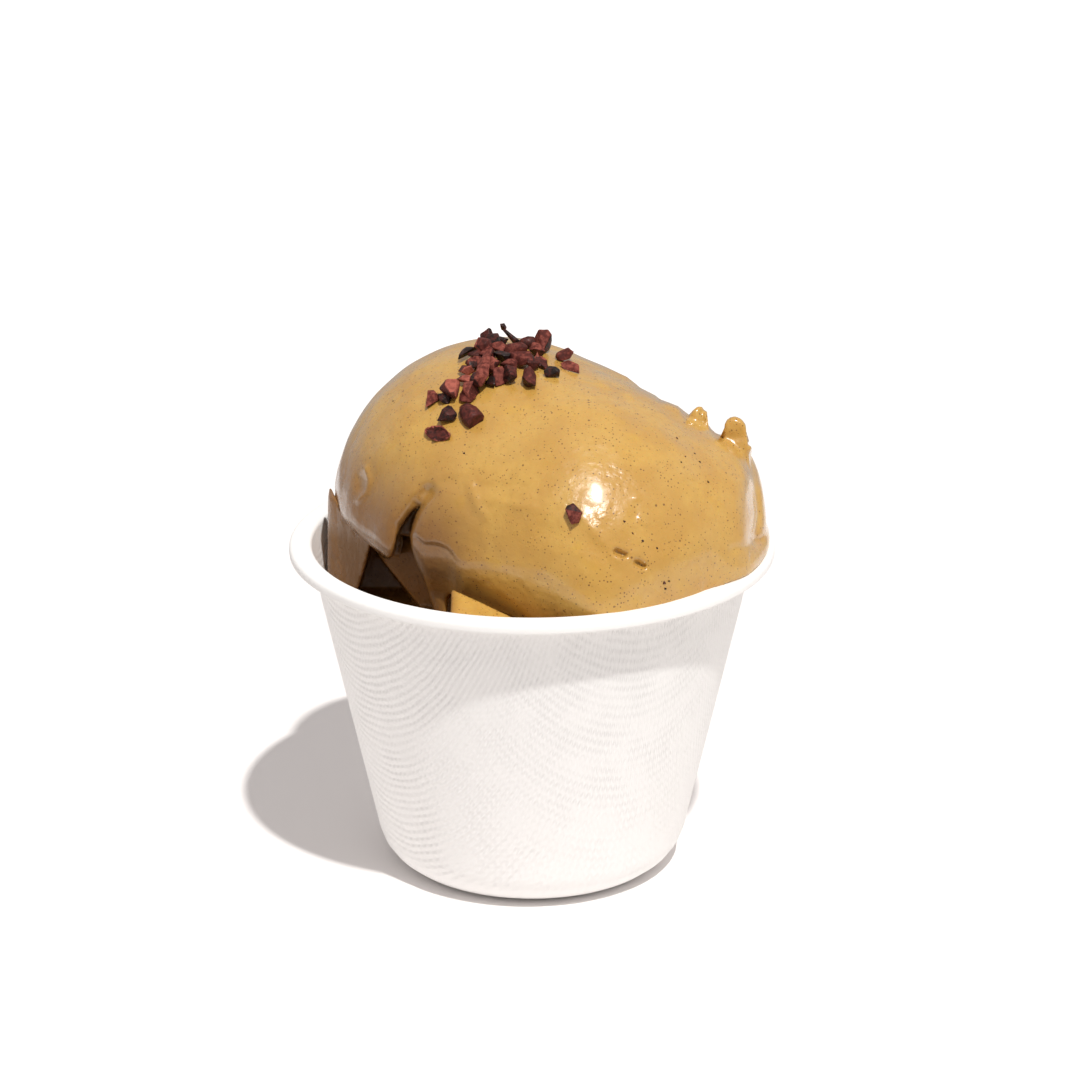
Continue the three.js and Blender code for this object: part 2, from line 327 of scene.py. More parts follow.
# The left dome's lower edge, in front of the flap. It ends between two places across, and its
# rounding changes between two others.
DOME_EDGE = ((322, 482), (329, 498), (341, 522), (359, 540), (374, 551), (392, 563.5), (400, 568))
DOME_EDGE_ENDS = (396, 401)
DOME_EDGE_ROUNDING, SEAM_ROUNDING = 3.2, 0.8
DOME_EDGE_ROUNDED = (385, 400)
DOME_PAST_SEAM = 4.0  # how far under the seam the dome hangs at most
FAR = 60.0  # leaves the edge out of play

# The crest falls to the right along this outline, under the horns.
CREST = (
    (560, 250), (630, 376), (640, 387), (655, 394.5), (660, 399), (668, 401.5), (678, 404.5), (684, 410.5),
    (689, 414.5), (699, 418), (706, 422), (713, 431), (717, 434), (725, 435.5), (748, 447), (770, 470),
)

# Two horns stand up from its right end, with this outline, between two depths past the aim.
HORN_LINE = (
    (686, 445), (689, 414), (693, 409.8), (697.5, 406.3), (701.6, 406.3), (704.5, 410),
    (707, 411.5), (708.5, 426), (713, 445), (723.8, 445), (724.6, 424), (727, 419.6), (730.5, 417.3),
    (735, 416.3), (740, 418.2), (745.6, 422.8), (748, 445),
)
HORN_SIDE = ((745.5, 422), (752, 447), (753, 490))
HORN_DEPTHS = (-8.8, -3.2)
HORNS_LEFT, HORNS_FOOT = 680, (470, 480)

# The fold gapes between these two sides, each given from the top down.
FOLD_LEFT = ((418, 506), (410, 514), (403, 524), (397, 536), (393.5, 551), (391, 561))
FOLD_RIGHT = (
    (420.5, 506), (416, 513), (412.5, 524), (410, 536), (411, 546), (415, 560), (420, 572),
    (425, 583), (428.5, 595), (433.5, 610), (444, 640),
)
FOLD_BACK = -16.0

# The right lobe curls under below this line, and its skin ends in a lip along the first part.
CURL_LINE = (
    (404, 530), (411, 533.5), (415, 532), (420, 537), (425, 541), (434, 541), (441, 542.5),
    (447.5, 545.5), (452, 550), (456, 556), (462, 560), (470, 557), (480, 557), (500, 561),
    (520, 561), (545, 564), (575, 572), (600, 582), (640, 608), (700, 660),
)
CURL_RADII = ((440, 460, 500, 540, 600), (10.0, 8.0, 9.0, 17.0, 26.0))  # places across, and mm
CURL_MOST, CURL_LESS_AT_CORNER = 8, 4
CURL_STARTS = (402, 410)
LIP_RECESS, LIP_WIDTH = 0.5, 0.8
LIP_ENDS = (440, 470)
WORKED_DEPTHS = (2, 10)  # the face is worked from here, in mm in front of the aim

# The lobe's corner comes down to the rim between these, by so much in front.
CORNER_LEFT = (404, 410)
CORNER_RIGHT = 447.0
CORNER_DROP, CORNER_DEPTHS = 14, (16, 19)

# Ridges and hollows that the spatula left: the line, its width and its height in mm.
STROKES = (
    (((470, 486), (475, 503), (485, 516)), 0.9, 0.3),
    (((478, 485), (500, 487), (524, 485)), 0.8, -0.18),
    (((477, 497), (500, 501), (532, 508)), 1.0, 0.22),
    (((750, 456), (755, 485), (757, 515), (753, 538)), 1.0, -0.8),
    (((733, 549), (748, 546), (760, 540)), 0.8, -0.35),
    (((583, 518), (600, 538), (620, 560)), 1.1, 0.3),
    (((545, 530), (580, 540), (612, 556)), 2.2, -0.25),
    (((404, 528), (412, 513), (419, 502), (427, 493)), 1.5, -1.5),
    (((427, 493), (436, 486), (450, 482)), 1.2, -0.3),
    (((701.5, 412), (703.5, 421)), 0.5, -0.7),
    (((726, 436), (733, 438), (741, 436)), 0.7, -0.3),
    (((365, 468), (369, 480), (366, 492), (358, 501)), 0.5, 0.4),
    (((360, 478), (361, 488)), 0.9, -0.45),
    (((636, 498), (637, 498)), 0.5, 0.25),
    (((640, 518), (645, 524)), 0.5, 0.3),
    (((600, 380), (607, 385)), 1.0, 0.3),
    (((625, 392), (632, 395)), 0.9, 0.35),
    (((671, 402), (680, 408)), 1.2, 0.5),
    (((686, 412), (690, 416)), 0.8, -0.4),
)

# Slits in the skin: the line, its width and its depth in mm.
SLITS = (
    (((616, 551.5), (624, 555)), 0.5, 1.5),
    (((636.5, 562.5), (643.5, 566)), 0.5, 1.5),
)

# A dark hollow opens in the lower scoop between these two lines.
CAVE_LEFT = ((372, 546), (358, 590))
CAVE_RIGHT = ((372, 546), (411, 596))
CAVE_BACK, CAVE_FLOOR = 4.0, 54.0


def beside(across, down, start, end):
    """Distance in mm, as seen, to the right of a line through two pixels, looking along it."""
    dx, dy = end[0] - start[0], end[1] - start[1]
    return ((down - start[1]) * dx - (across - start[0]) * dy) * PIXEL / math.hypot(dx, dy)


def worked(p):
    """How far strokes, slits and the curl below the lobe's edge move the top scoop's face."""
    across, down, depth = seen(p)
    front = rise(-depth, *WORKED_DEPTHS)
    out = 0
    for path, width, height in STROKES:
        out = out + height * bell(from_path(across, down, path), width)
    below = np.maximum(-over_line(across, down, CURL_LINE), 0)
    column = 1 - rise(across, CORNER_RIGHT - 2, CORNER_RIGHT + 4)
    most = CURL_MOST - CURL_LESS_AT_CORNER * column
    curl = np.minimum(below**2 / (2 * np.interp(across, *CURL_RADII)), most)
    lip = LIP_RECESS * rise(below, 0, LIP_WIDTH) * (1 - rise(across, *LIP_ENDS))
    under = (curl + lip) * rise(across, *CURL_STARTS)
    for path, width, deep in SLITS:
        out = out - deep * bell(np.maximum(from_path(across, down, path), 0), width)
    return front * (out - under)


def fold(across, down, depth):
    """The gap of the fold, open at its foot."""
    left = np.where(down > FOLD_LEFT[-1][1], 0, across_at(FOLD_LEFT, down))
    right = across_at(FOLD_RIGHT, down)
    gap = np.maximum(left - across, across - right) * PIXEL
    gap = np.maximum(gap, (FOLD_LEFT[0][1] - down) * PIXEL)
    return np.maximum(gap, depth - FOLD_BACK)


def horns(across, down, depth):
    """The fin that the spatula pulled up, cut to the horns' outline."""
    front, back = HORN_DEPTHS
    fin = np.maximum(np.maximum(front - depth, depth - back), (HORNS_LEFT - across) * PIXEL)
    fin = common(fin, over_line(across, down, HORN_LINE), 1.2)
    fin = common(fin, (across - across_at(HORN_SIDE, down)) * PIXEL, 0.8)
    return fin + 3 * rise(down, *HORNS_FOOT)


def across_at(side, down):
    return np.interp(down, [y for _, y in side], [x for x, _ in side])


def foot_roll(p, radius, height, half, middle, sweep):
    """The roll of sorbet on the rim: its path, half its width and, in degrees, its ends."""
    x, y, z = p
    turn = np.abs(np.degrees(np.arctan2(y, x)) - middle)
    away = np.hypot(np.hypot(x, y) - radius, z - height)
    return away - half * (1 - rise(turn, sweep - 12, sweep + 6)) + 2 * rise(turn, sweep, sweep + 8)


def top_scoop(p):
    across, down, depth = seen(p)
    lobe = common(mound(p, *RIGHT_LOBE), plane(p, *SPATULA_FLAT), 7)
    lobe = join(lobe, mound(p, *LOBE_CORNER), 4)
    lobe = common(lobe, plane(p, *LOBE_EDGE), 3)
    lobe = common(lobe, plane(p, *LOBE_FACET), 2.5)
    scoop = join(mound(p, *LEFT_DOME), lobe, 4)
    scoop = join(scoop, common(mound(p, *RIGHT_END), plane(p, *END_FACET), 0.8), 3)
    scoop = join(join(scoop, mound(p, *BACK_LOBE), 3), mound(p, *LEFT_BACK), 1)
    scoop = common(scoop, over_line(across, down, CREST), 1.5)
    scoop = join(scoop, horns(across, down, depth), 0.8)
    scoop = join(scoop, foot_roll(p, *FOOT_ROLL), 1.2)
    scoop = scoop - worked(p)
    corner = rise(across, *CORNER_LEFT) * rise(-across, -CORNER_RIGHT - 2, -CORNER_RIGHT + 1)
    seam = over_seam(p) + CORNER_DROP * corner * rise(-depth, *CORNER_DEPTHS)
    edge = over_line(across, down, DOME_EDGE) + FAR * rise(across, *DOME_EDGE_ENDS)
    by_dome = (across < DOME_EDGE_ENDS[1]) & (depth < 0)
    seam = np.where(by_dome, np.minimum(edge, seam + DOME_PAST_SEAM), seam)
    right, left = DOME_EDGE_ROUNDED[::-1]
    rounded = rise(-across, -right, -left) * rise(-depth, 0, 3)
    soft = SEAM_ROUNDING + (DOME_EDGE_ROUNDING - SEAM_ROUNDING) * rounded
    scoop = common(scoop, GAP / 2 - seam, soft)
    scoop = common(scoop, beyond_cup(p), 0.6)
    scoop = cut(scoop, fold(across, down, depth), 1.6)
    return scoop + TOP_UNEVEN * waves(p, length=7, seed=3)


def lower_scoop(p):
    x, y, z = p
    across, down, depth = seen(p)
    dome = mound((x, y, np.maximum(z, LOWER_DOME[0][2])), *LOWER_DOME)
    hollow = np.maximum(-plane(p, *HOLLOW), HOLLOW_FLOOR - z)
    scoop = common(cut(dome, hollow, 1.5), over_seam(p) + GAP / 2, 0.8)
    face = plane(p, *FLAP_FACE)
    flap = common(common(face, -face - FLAP_THICK, 1.0), plane(p, *FLAP_END), 0.5)
    flap = common(flap, common(y - FLAP_BACK, plane(p, *FLAP_TOP), 2.0), 1.0)
    flap = common(flap, plane(p, *FLAP_LEFT), 1.2)
    flap = common(flap, over_line(across, down, DOME_EDGE) - FLAP_UNDER_DOME, 0.5)
    scoop = join(scoop, flap, 1)
    ledge = common(plane(p, *LEDGE), plane(p, *LEDGE_BACK), 0.7)
    ends = np.maximum(LEDGE_LEFT - x, x - LEDGE_RIGHT)
    ledge = common(ledge, np.maximum(ends, LEDGE_FOOT - z), 0.6)
    scoop = join(scoop, ledge, 1)
    scoop = common(scoop, beyond_cup(p), 0.6)
    floor = UNDERSIDE_RECESS + PAPER
    scoop = common(scoop, floor - z, FOOT_BLEND)
    cave = np.maximum(beside(across, down, *CAVE_LEFT), -beside(across, down, *CAVE_RIGHT))
    cave = np.maximum(cave, depth - CAVE_BACK)
    scoop = cut(scoop, np.maximum(cave, CAVE_FLOOR - z), 0.6)
    return scoop + LOWER_UNEVEN * waves(p, length=8, seed=5)


# ---- meshes ----


def gradient(field, points, step=0.08):
    rows = []
    for axis in np.eye(3) * step:
        rows.append(field((points + axis).T) - field((points - axis).T))
    return np.array(rows).T / (2 * step)


def drawn_to(field, points, most=0.5):
    """The points moved onto the field's surface, by at most so many millimetres."""
    slope = gradient(field, points)
    shift = field(points.T) / np.maximum((slope**2).sum(1), 0.2)
    move = -shift[:, None] * slope
    length = np.linalg.norm(move, axis=1, keepdims=True)
    return points + move * np.minimum(1, most / np.maximum(length, 1e-9))


def skin(field, axes):
    """Vertices and quads of the surface where a field is nought, on a lattice of axes."""
    values = field(tuple(np.ix_(*axes)))
    inside = values < 0
    held = inside.astype(np.int8)
    for axis in range(3):
        rows = np.moveaxis(held, axis, 0)
        held = np.moveaxis(rows[1:] + rows[:-1], 0, axis)
    crossed = (held > 0) & (held < 8)
    number = np.full(crossed.shape, -1)
    number[crossed] = np.arange(crossed.sum())
    middles = [(a[1:] + a[:-1]) / 2 for a in axes]
    points = np.stack([m[i] for m, i in zip(middles, np.nonzero(crossed))], 1)
    quads = []
    for axis in range(3):
        turned = np.moveaxis(inside, axis, 0)
        cells = np.moveaxis(number, axis, 0)
        first = turned[:-1, 1:-1, 1:-1]
        second = turned[1:, 1:-1, 1:-1]
        i, j, k = np.nonzero(first != second)
        around = [cells[i, j + a, k + b] for a, b in ((0, 0), (1, 0), (1, 1), (0, 1))]
        quad = np.stack(around, 1)
        backwards = second[i, j, k] != (axis == 1)
        quad[backwards] = quad[backwards, ::-1]
        quads.append(quad)
    return points, np.concatenate(quads)


def evened(points, quads, share=0.6):
    """Each point moved towards the middle of its neighbours."""
    ends = np.concatenate([quads, np.roll(quads, 1, 1)]).ravel()
    others = np.concatenate([np.roll(quads, 1, 1), quads]).ravel()
    count = np.bincount(ends, minlength=len(points))[:, None]
    total = [np.bincount(ends, points[others, a], len(points)) for a in range(3)]
    return points * (1 - share) + np.stack(total, 1) / count * share


def moulded(field, axes, rounds=3):
    """A fine quad mesh of a field: the lattice's skin, evened and drawn to the surface."""
    points, quads = skin(field, axes)
    for _ in range(rounds):
        points = drawn_to(field, evened(points, quads))
    return drawn_to(field, points), quads


def lattice(low, high, step):
    return np.arange(low, high + step, step)


def new_piece(name, points, faces, material, replaced=()):
    """A mesh piece from points in millimetres, riding on the cup's body."""
    mesh = bpy.data.meshes.new(name)
    mesh.from_pydata((np.asarray(points) * MM).tolist(), [], np.asarray(faces).tolist())
    mesh.validate()
    mesh.shade_smooth()
    mesh.materials.append(material)
    piece = bpy.data.objects.new(name, mesh)
    bpy.context.scene.collection.objects.link(piece)
    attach(piece, BODY)
    if replaced:
        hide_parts(*replaced)
    return piece


# ---- finishes ----


class Signal:
    """What a socket gives, so that shader maths reads as arithmetic."""

    def __init__(self, finish, socket):
        self.finish = finish
        self.socket = socket

    def math(self, operation, *values):
        return self.finish.node("ShaderNodeMath", {"operation": operation}, dict(enumerate(values)))

    def __add__(self, other):
        return self.math("ADD", self, other)

    def __sub__(self, other):
        return self.math("SUBTRACT", self, other)

    def __rsub__(self, other):
        return self.math("SUBTRACT", other, self)

    def __mul__(self, other):
        return self.math("MULTIPLY", self, other)

    def __truediv__(self, other):
        return self.math("DIVIDE", self, other)

    def __rtruediv__(self, other):
        return self.math("DIVIDE", other, self)

    def __pow__(self, other):
        return self.math("POWER", self, other)

    __radd__ = __add__
    __rmul__ = __mul__


class Nodes:
    """A node tree, and the one way in which nodes are added to it."""

    def __init__(self, tree):
        self.tree = tree

    def node(self, kind, settings=None, sockets=None, output=0):
        """A node of a type: its settings first, then values or links for its sockets."""
        node = self.tree.nodes.new(kind)
        for name, value in (settings or {}).items():
            if name == "stops":
                self._stops(node.color_ramp, value)
            else:
                setattr(node, name, value)
        for key, value in (sockets or {}).items():
            self.feed(self._socket(node.inputs, key), value)
        return Signal(self, self._socket(node.outputs, output))

    @staticmethod
    def _socket(sockets, key):
        if isinstance(key, int):
            return sockets[key]
        named = [s for s in sockets if s.identifier == key]
        return named[0] if named else sockets[key]

    @staticmethod
    def _stops(ramp, stops):
        while len(ramp.elements) < len(stops):
            ramp.elements.new(1)
        for element, (position, colour) in zip(ramp.elements, stops):
            element.position = position
            element.color = colour

    def feed(self, socket, value):
        if isinstance(value, Signal):
            self.tree.links.new(value.socket, socket)
        else:
            socket.default_value = value

    def split(self, vector):
        """The X, Y and Z of a vector."""
        return [self.node("ShaderNodeSeparateXYZ", {}, {"Vector": vector}, name) for name in "XYZ"]


class Finish(Nodes):
    """A procedural material. Sizes of its patterns are in millimetres."""

    def __init__(self, name, **uniform):
        self.material = bpy.data.materials.new(name)
        self.material.use_nodes = True
        super().__init__(self.material.node_tree)
        self.shader = self.tree.nodes["Principled BSDF"]
        for socket, value in uniform.items():
            self.shader.inputs[socket.replace("_", " ")].default_value = value
        self.place = self.node("ShaderNodeTexCoord", output="Object")

    def paint(self, **sockets):
        """Feeds what changes over the surface to the shader's own sockets."""
        for name, value in sockets.items():
            self.feed(self.shader.inputs[name.replace("_", " ")], value)

    def noise(self, size, detail, roughness=0.5):
        sockets = {"Vector": self.place, "Scale": 1 / (size * MM)}
        sockets.update(Detail=detail, Roughness=roughness)
        return self.node("ShaderNodeTexNoise", {}, sockets)

    def cells(self, size, output):
        sockets = {"Vector": self.place, "Scale": 1 / (size * MM)}
        return self.node("ShaderNodeTexVoronoi", {}, sockets, output)

    def ramp(self, signal, low, high, bottom=0.0, top=1.0):
        """The signal from low to high, stretched to bottom to top and held there."""
        sockets = {0: signal, 1: low, 2: high, 3: bottom, 4: top}
        return self.node("ShaderNodeMapRange", {"interpolation_type": "SMOOTHSTEP"}, sockets)

    def mix(self, factor, a, b):
        sockets = {"Factor_Float": factor, "A_Color": a, "B_Color": b}
        return self.node("ShaderNodeMix", {"data_type": "RGBA"}, sockets, "Result_Color")

    def bump(self, height, distance, strength):
        """A normal from a height of 0 to 1 that stands for so many millimetres."""
        sockets = {"Height": height, "Distance": distance * MM, "Strength": strength}
        return self.node("ShaderNodeBump", {}, sockets)


def colour(value):
    return (*value[:3], 1.0)


def dots(finish, size, most, chance):
    """Round dots in a share of the cells of a size, up to a radius of `most` millimetres."""
    away = finish.cells(size, "Distance")
    picked = finish.cells(size, "Color")
    drawn = finish.node("ShaderNodeSeparateColor", {}, {"Color": picked}, "Red")
    radius = finish.ramp(drawn, 1 - chance, 1, 0.35 * most / size, most / size)
    edge = finish.ramp(away / radius, 0.7, 1.05, 1, 0)
    return edge * finish.ramp(drawn, 1 - chance, 1.001 - chance)


# Painted shade darkens the sorbet's colour from one place to another, in metres: at the top scoop's lower
# left and, in the lower scoop, towards its left by the fold. Its wet coat varies.
PAINTED_SHADE_ACROSS, PAINTED_SHADE_DOWN = (-0.005, -0.019), (0.091, 0.073)
FOLD_PAINTED_SHADE_ACROSS = (-0.0125, -0.0155)
COAT, SHADED_COAT = (0.5, 1.0), (0.0, 0.15)


def sorbet_finish(settings, name, shaded=False):
    """Wet sorbet with ground specks, and painted shade at the lower left or, on the shaded lower scoop, at
    its left by the fold.
    """
    finish = Finish(
        name,
        Subsurface_Weight=0.12,
        Subsurface_Radius=(1.0, 0.5, 0.2),
        Subsurface_Scale=0.0015,
        Coat_Roughness=0.13,
        Coat_IOR=1.5,
        IOR=1.4,
    )
    body = finish.ramp(finish.noise(9, 3), 0.38, 0.62)
    base = finish.mix(body, colour(settings.colour), colour(settings.deep_colour))
    golden = finish.ramp(finish.noise(6, 2, 0.4), 0.62, 0.72)
    base = finish.mix(golden * 0.35, base, colour(settings.golden_colour))
    mottled = finish.ramp(finish.noise(1.3, 3, 0.6), 0.35, 0.7, 0, 0.5)
    base = finish.mix(mottled, base, colour(settings.deep_colour))
    x, _, z = finish.split(finish.place)
    # Painted shade: towards these places the colour turns to the painted shade colour.
    if shaded:
        painted_shade = finish.ramp(x, *FOLD_PAINTED_SHADE_ACROSS)
    else:
        painted_shade = finish.ramp(x, *PAINTED_SHADE_ACROSS) * finish.ramp(z, *PAINTED_SHADE_DOWN)
    base = finish.mix(painted_shade, base, colour(settings.painted_shade_colour))
    fine = dots(finish, 0.62, 0.17, 0.95) * finish.ramp(finish.noise(4, 1), 0.3, 0.6, 0.4, 0.9)
    base = finish.mix(fine, base, colour(settings.speck_colour))
    base = finish.mix(dots(finish, 1.5, 0.26, 0.35) * 0.8, base, colour(settings.speck_colour))
    lumps = finish.noise(2.6, 1.5, 0.4)
    grain = finish.noise(0.6, 2, 0.6)
    bubbles = dots(finish, 1.1, 0.2, 0.5) * finish.ramp(finish.noise(7, 1), 0.42, 0.6)
    height = lumps * 0.5 + grain * 0.09 + bubbles * 0.12
    finish.paint(
        Base_Color=base,
        Roughness=finish.ramp(finish.noise(5, 2), 0.3, 0.7, 0.24, 0.4),
        Coat_Weight=finish.ramp(finish.noise(8, 2), 0.35, 0.65, *(SHADED_COAT if shaded else COAT)),
        Normal=finish.bump(height, 0.8, 0.8),
    )
    return finish.material


def fibre_finish(settings):
    """White fibre with the print of the woven cloth that it was drawn over."""
    finish = Finish("moulded_fibre", Roughness=0.85, IOR=1.45)
    x, y, z = (value * (1 / MM) for value in finish.split(finish.place))
    around = (CLOTH_MIDDLE + CLOTH_STRETCH * z) / (x * x + y * y) ** 0.5
    c, s = math.cos(CLOTH_TURN), math.sin(CLOTH_TURN)
    wander = finish.noise(9, 2) * 1.6
    turns = 2 * math.pi / CLOTH_PITCH
    rows = (around * (x * c + y * s) + wander) * turns
    columns = around * (y * c - x * s) * (turns * 0.8)
    wires = rows.math("SINE", rows)
    dashes = columns.math("SINE", columns)
    printed = finish.ramp(z, 61.5, 60) * finish.ramp(z, 1, 7)
    printed = printed * finish.ramp(finish.noise(7, 3), 0.3, 0.65, 0.45, 1.0)
    cloth = (wires * 0.75 + dashes * wires * 0.4) * printed
    grain = finish.noise(0.45, 4, 0.7)
    duller = colour([0.985 * value for value in settings.colour])
    base = finish.mix(finish.noise(6, 3), colour(settings.colour), duller)
    height = 0.5 + cloth * 0.3 + grain * 0.2
    finish.paint(Base_Color=base, Normal=finish.bump(height, settings.print_depth / MM, 0.9))
    return finish.material


def nib_finish(settings):
    """Dark satin skin where a nib is unbroken, and dull red where it is broken."""
    finish = Finish("cacao", IOR=1.3, Coat_Roughness=0.25)
    red = finish.node("ShaderNodeAttribute", {"attribute_name": "redness"}, {}, "Fac")
    mottled = finish.ramp(finish.noise(0.9, 3, 0.6), 0.3, 0.7, -0.22, 0.2)
    base = finish.node("ShaderNodeValToRGB", {"stops": settings.stops()}, {"Fac": red + mottled})
    grain = finish.noise(0.25, 3, 0.6)
    finish.paint(
        Base_Color=base,
        Roughness=finish.ramp(red, 0.1, 0.6, 0.45, 0.75),
        Coat_Weight=finish.ramp(red, 0.1, 0.5, 0.15, 0.0),
        Normal=finish.bump(grain, 0.12, 0.7),
    )
    return finish.material


# ---- sizes and colours that a user would change ----


def colour_setting(name, description, default):
    return bpy.props.FloatVectorProperty(
        name=name, description=description, default=default, min=0, max=1, subtype="COLOR"
    )


def number_setting(name, description, default):
    return bpy.props.FloatProperty(name=name, description=description, default=default)


class CupSettings(bpy.types.PropertyGroup):
    print_depth: bpy.props.FloatProperty(
        name="Print depth", description="Depth of the print that the woven mould leaves",
        default=0.00034, unit="LENGTH",
    )
    colour: colour_setting("Fibre colour", "Colour of the moulded fibre", (0.97, 0.96, 0.945))


class SorbetSettings(bpy.types.PropertyGroup):
    detail: bpy.props.FloatProperty(
        name="Detail", description="Size of the smallest face on the scoops",
        default=0.00045, unit="LENGTH",
    )
    colour: colour_setting("Colour", "Colour of most of the sorbet", (0.61, 0.36, 0.082))
    deep_colour: colour_setting("Deep colour", "Colour of its slightly darker patches", (0.55, 0.305, 0.067))
    golden_colour: colour_setting("Golden colour", "Colour of its thin golden patches", (0.6, 0.34, 0.035))
    # Painted shade, laid on the top scoop's lower left and on the lower scoop at its left by the fold.
    painted_shade_colour: colour_setting(
        "Shaded colour", "Colour of the thin sorbet at the left and inside the fold", (0.26, 0.12, 0.031)
    )
    speck_colour: colour_setting("Speck colour", "Colour of the fine ground specks", (0.16, 0.065, 0.018))


class NibSettings(bpy.types.PropertyGroup):
    scale: number_setting("Size", "Size of every nib against the photographed one", 1.14)
    dark: colour_setting("Skin", "Colour of a nib's darkest skin", (0.012, 0.004, 0.003))
    red: colour_setting("Red", "Colour of a nib's red-brown faces", (0.112, 0.022, 0.016))
    pale: colour_setting("Broken face", "Colour of a nib's palest broken face", (0.42, 0.115, 0.08))

    def stops(self):
        return ((0.0, colour(self.dark)), (0.45, colour(self.red)), (1.0, colour(self.pale)))


class StageSettings(bpy.types.PropertyGroup):
    sun_strength: number_setting("Key light", "Strength of the key light", 2.7)
    top_fill: number_setting("Fill from above", "Brightness of the surroundings overhead", 0.61)
    side_fill: number_setting("Fill from all sides", "Brightness of the surroundings at the horizon", 0.17)
    left_fill: number_setting("Fill from the left", "How much brighter the horizon is at the left", 0.22)
    right_fill: number_setting("Fill from the right", "How much brighter the horizon is at the right", 0.35)
    back_fill: number_setting("Fill from behind", "How much brighter the horizon is behind the cup", 0.22)
    sky_colour: colour_setting("Fill colour", "Colour of the surroundings' light", (1.0, 0.955, 0.94))


# ---- operators ----


def rounded_profile(points, steps=5):
    """A profile of (radius, height, rounding) corners with each corner rounded off."""
    done = []
    for i, (r, z, rounding) in enumerate(points):
        if not rounding:
            done.append((r, z))
            continue
        here = Vector((r, z))
        ends = (Vector(points[j][:2]) - here for j in (i - 1, i + 1))
        before, after = (end.normalized() for end in ends)
        half = before.angle(after) / 2
        back = rounding / math.tan(half)
        centre = here + (before + after).normalized() * (rounding / math.sin(half))
        start = here + before * back - centre
        end = here + after * back - centre
        sweep = start.angle_signed(end)
        for step in range(steps + 1):
            arm = start.copy()
            arm.rotate(Matrix.Rotation(-sweep * step / steps, 2))
            done.append(tuple(centre + arm))
    return done


def turned(profile, around):
    """Points and quads of a profile turned about the Z axis; it starts and ends beside it."""
    angles = np.linspace(0, 2 * math.pi, around, endpoint=False)
    points = [(r * math.cos(a), r * math.sin(a), z) for r, z in profile for a in angles]
    faces = []
    for low in range(0, (len(profile) - 1) * around, around):
        for i in range(around):
            here, beside = low + i, low + (i + 1) % around
            faces.append((here, beside, beside + around, here + around))
    return np.array(points), faces


class SORBET_OT_cup(bpy.types.Operator):
    """Turns the moulded-fibre cup with its turned-down rim"""

    bl_idname = "sorbet.cup"
    bl_label = "Cup"

    def execute(self, context):
        settings = context.scene.sorbet_cup
        under_rim = CUP_HEIGHT - PAPER
        lip = CUP_HEIGHT - LIP_DROP
        floor = UNDERSIDE_RECESS + PAPER
        corners = [
            (AXIS_GAP, UNDERSIDE_RECESS, 0),
            (STANDING_RING_INSIDE - 1, UNDERSIDE_RECESS, 0.3),
            (STANDING_RING_INSIDE, 0, 0.2),
            (WALL_FOOT_RADIUS, 0, FOOT_FILLET),
            (SHOULDER_RADIUS, SHOULDER_HEIGHT, 2),
            (NECK_RADIUS, lip, 0),
            (NECK_RADIUS + 0.2, under_rim, 0.3),
            (RIM_RADIUS - PAPER, under_rim, 0.3),
            (RIM_RADIUS - PAPER, lip, 0.4),
            (RIM_RADIUS, lip, 0.45),
            (RIM_RADIUS, CUP_HEIGHT, 0.9),
            (MOUTH_RADIUS - MOUTH_EDGE, CUP_HEIGHT, 0.8),
            (SHOULDER_RADIUS - PAPER, SHOULDER_HEIGHT, 1.2),
            (float(wall_radius(floor)) - PAPER, floor, FOOT_FILLET - PAPER),
            (AXIS_GAP, floor, 0),
        ]
        points, faces = turned(rounded_profile(corners), CUP_SIDES)
        new_piece("fibre_cup", points, faces, fibre_finish(settings), ["cup", "cup_rim"])
        return {"FINISHED"}


# Where the lattices of the two scoops lie, in mm; the lower one is coarser where none of it shows.
LOWER_SPAN, LOWER_UP, FILLING_STEP = (-40, 40), (48, 76), 3.0
TOP_SPANS = ((-40, 47), (-43, 44), (50, 106))


def face_step(settings):
    return settings.detail / MM * 1


class SORBET_OT_lower_scoop(bpy.types.Operator):
    """Moulds the scoop that fills the cup"""

    bl_idname = "sorbet.lower_scoop"
    bl_label = "Lower scoop"

    def execute(self, context):
        settings = context.scene.sorbet_scoops
        step = face_step(settings)
        across = lattice(*LOWER_SPAN, step)
        filling = np.arange(0, LOWER_UP[0], FILLING_STEP)
        up = np.concatenate([filling, lattice(*LOWER_UP, step)])
        points, quads = moulded(lower_scoop, (across, across, up))
        finish = sorbet_finish(settings, "shaded_sorbet", True)
        new_piece("lower_scoop", points, quads, finish, ["sorbet_lower_scoop"])
        return {"FINISHED"}


SHARD_CORNERS = {"chunk": 12, "flake": 11, "rod": 18, "dome": 150, "boat": 26, "stem": 20}
SMOOTH = ("dome", "boat", "stem")
SMOOTH_SPREAD, BROKEN_SPREAD = (0.98, 1), (0.86, 1.05)
STEM_SIDES, STEM_TAPER = 10, 0.42
FLAT_WITHIN = math.radians(14)
LONGEST_EDGE = 0.45


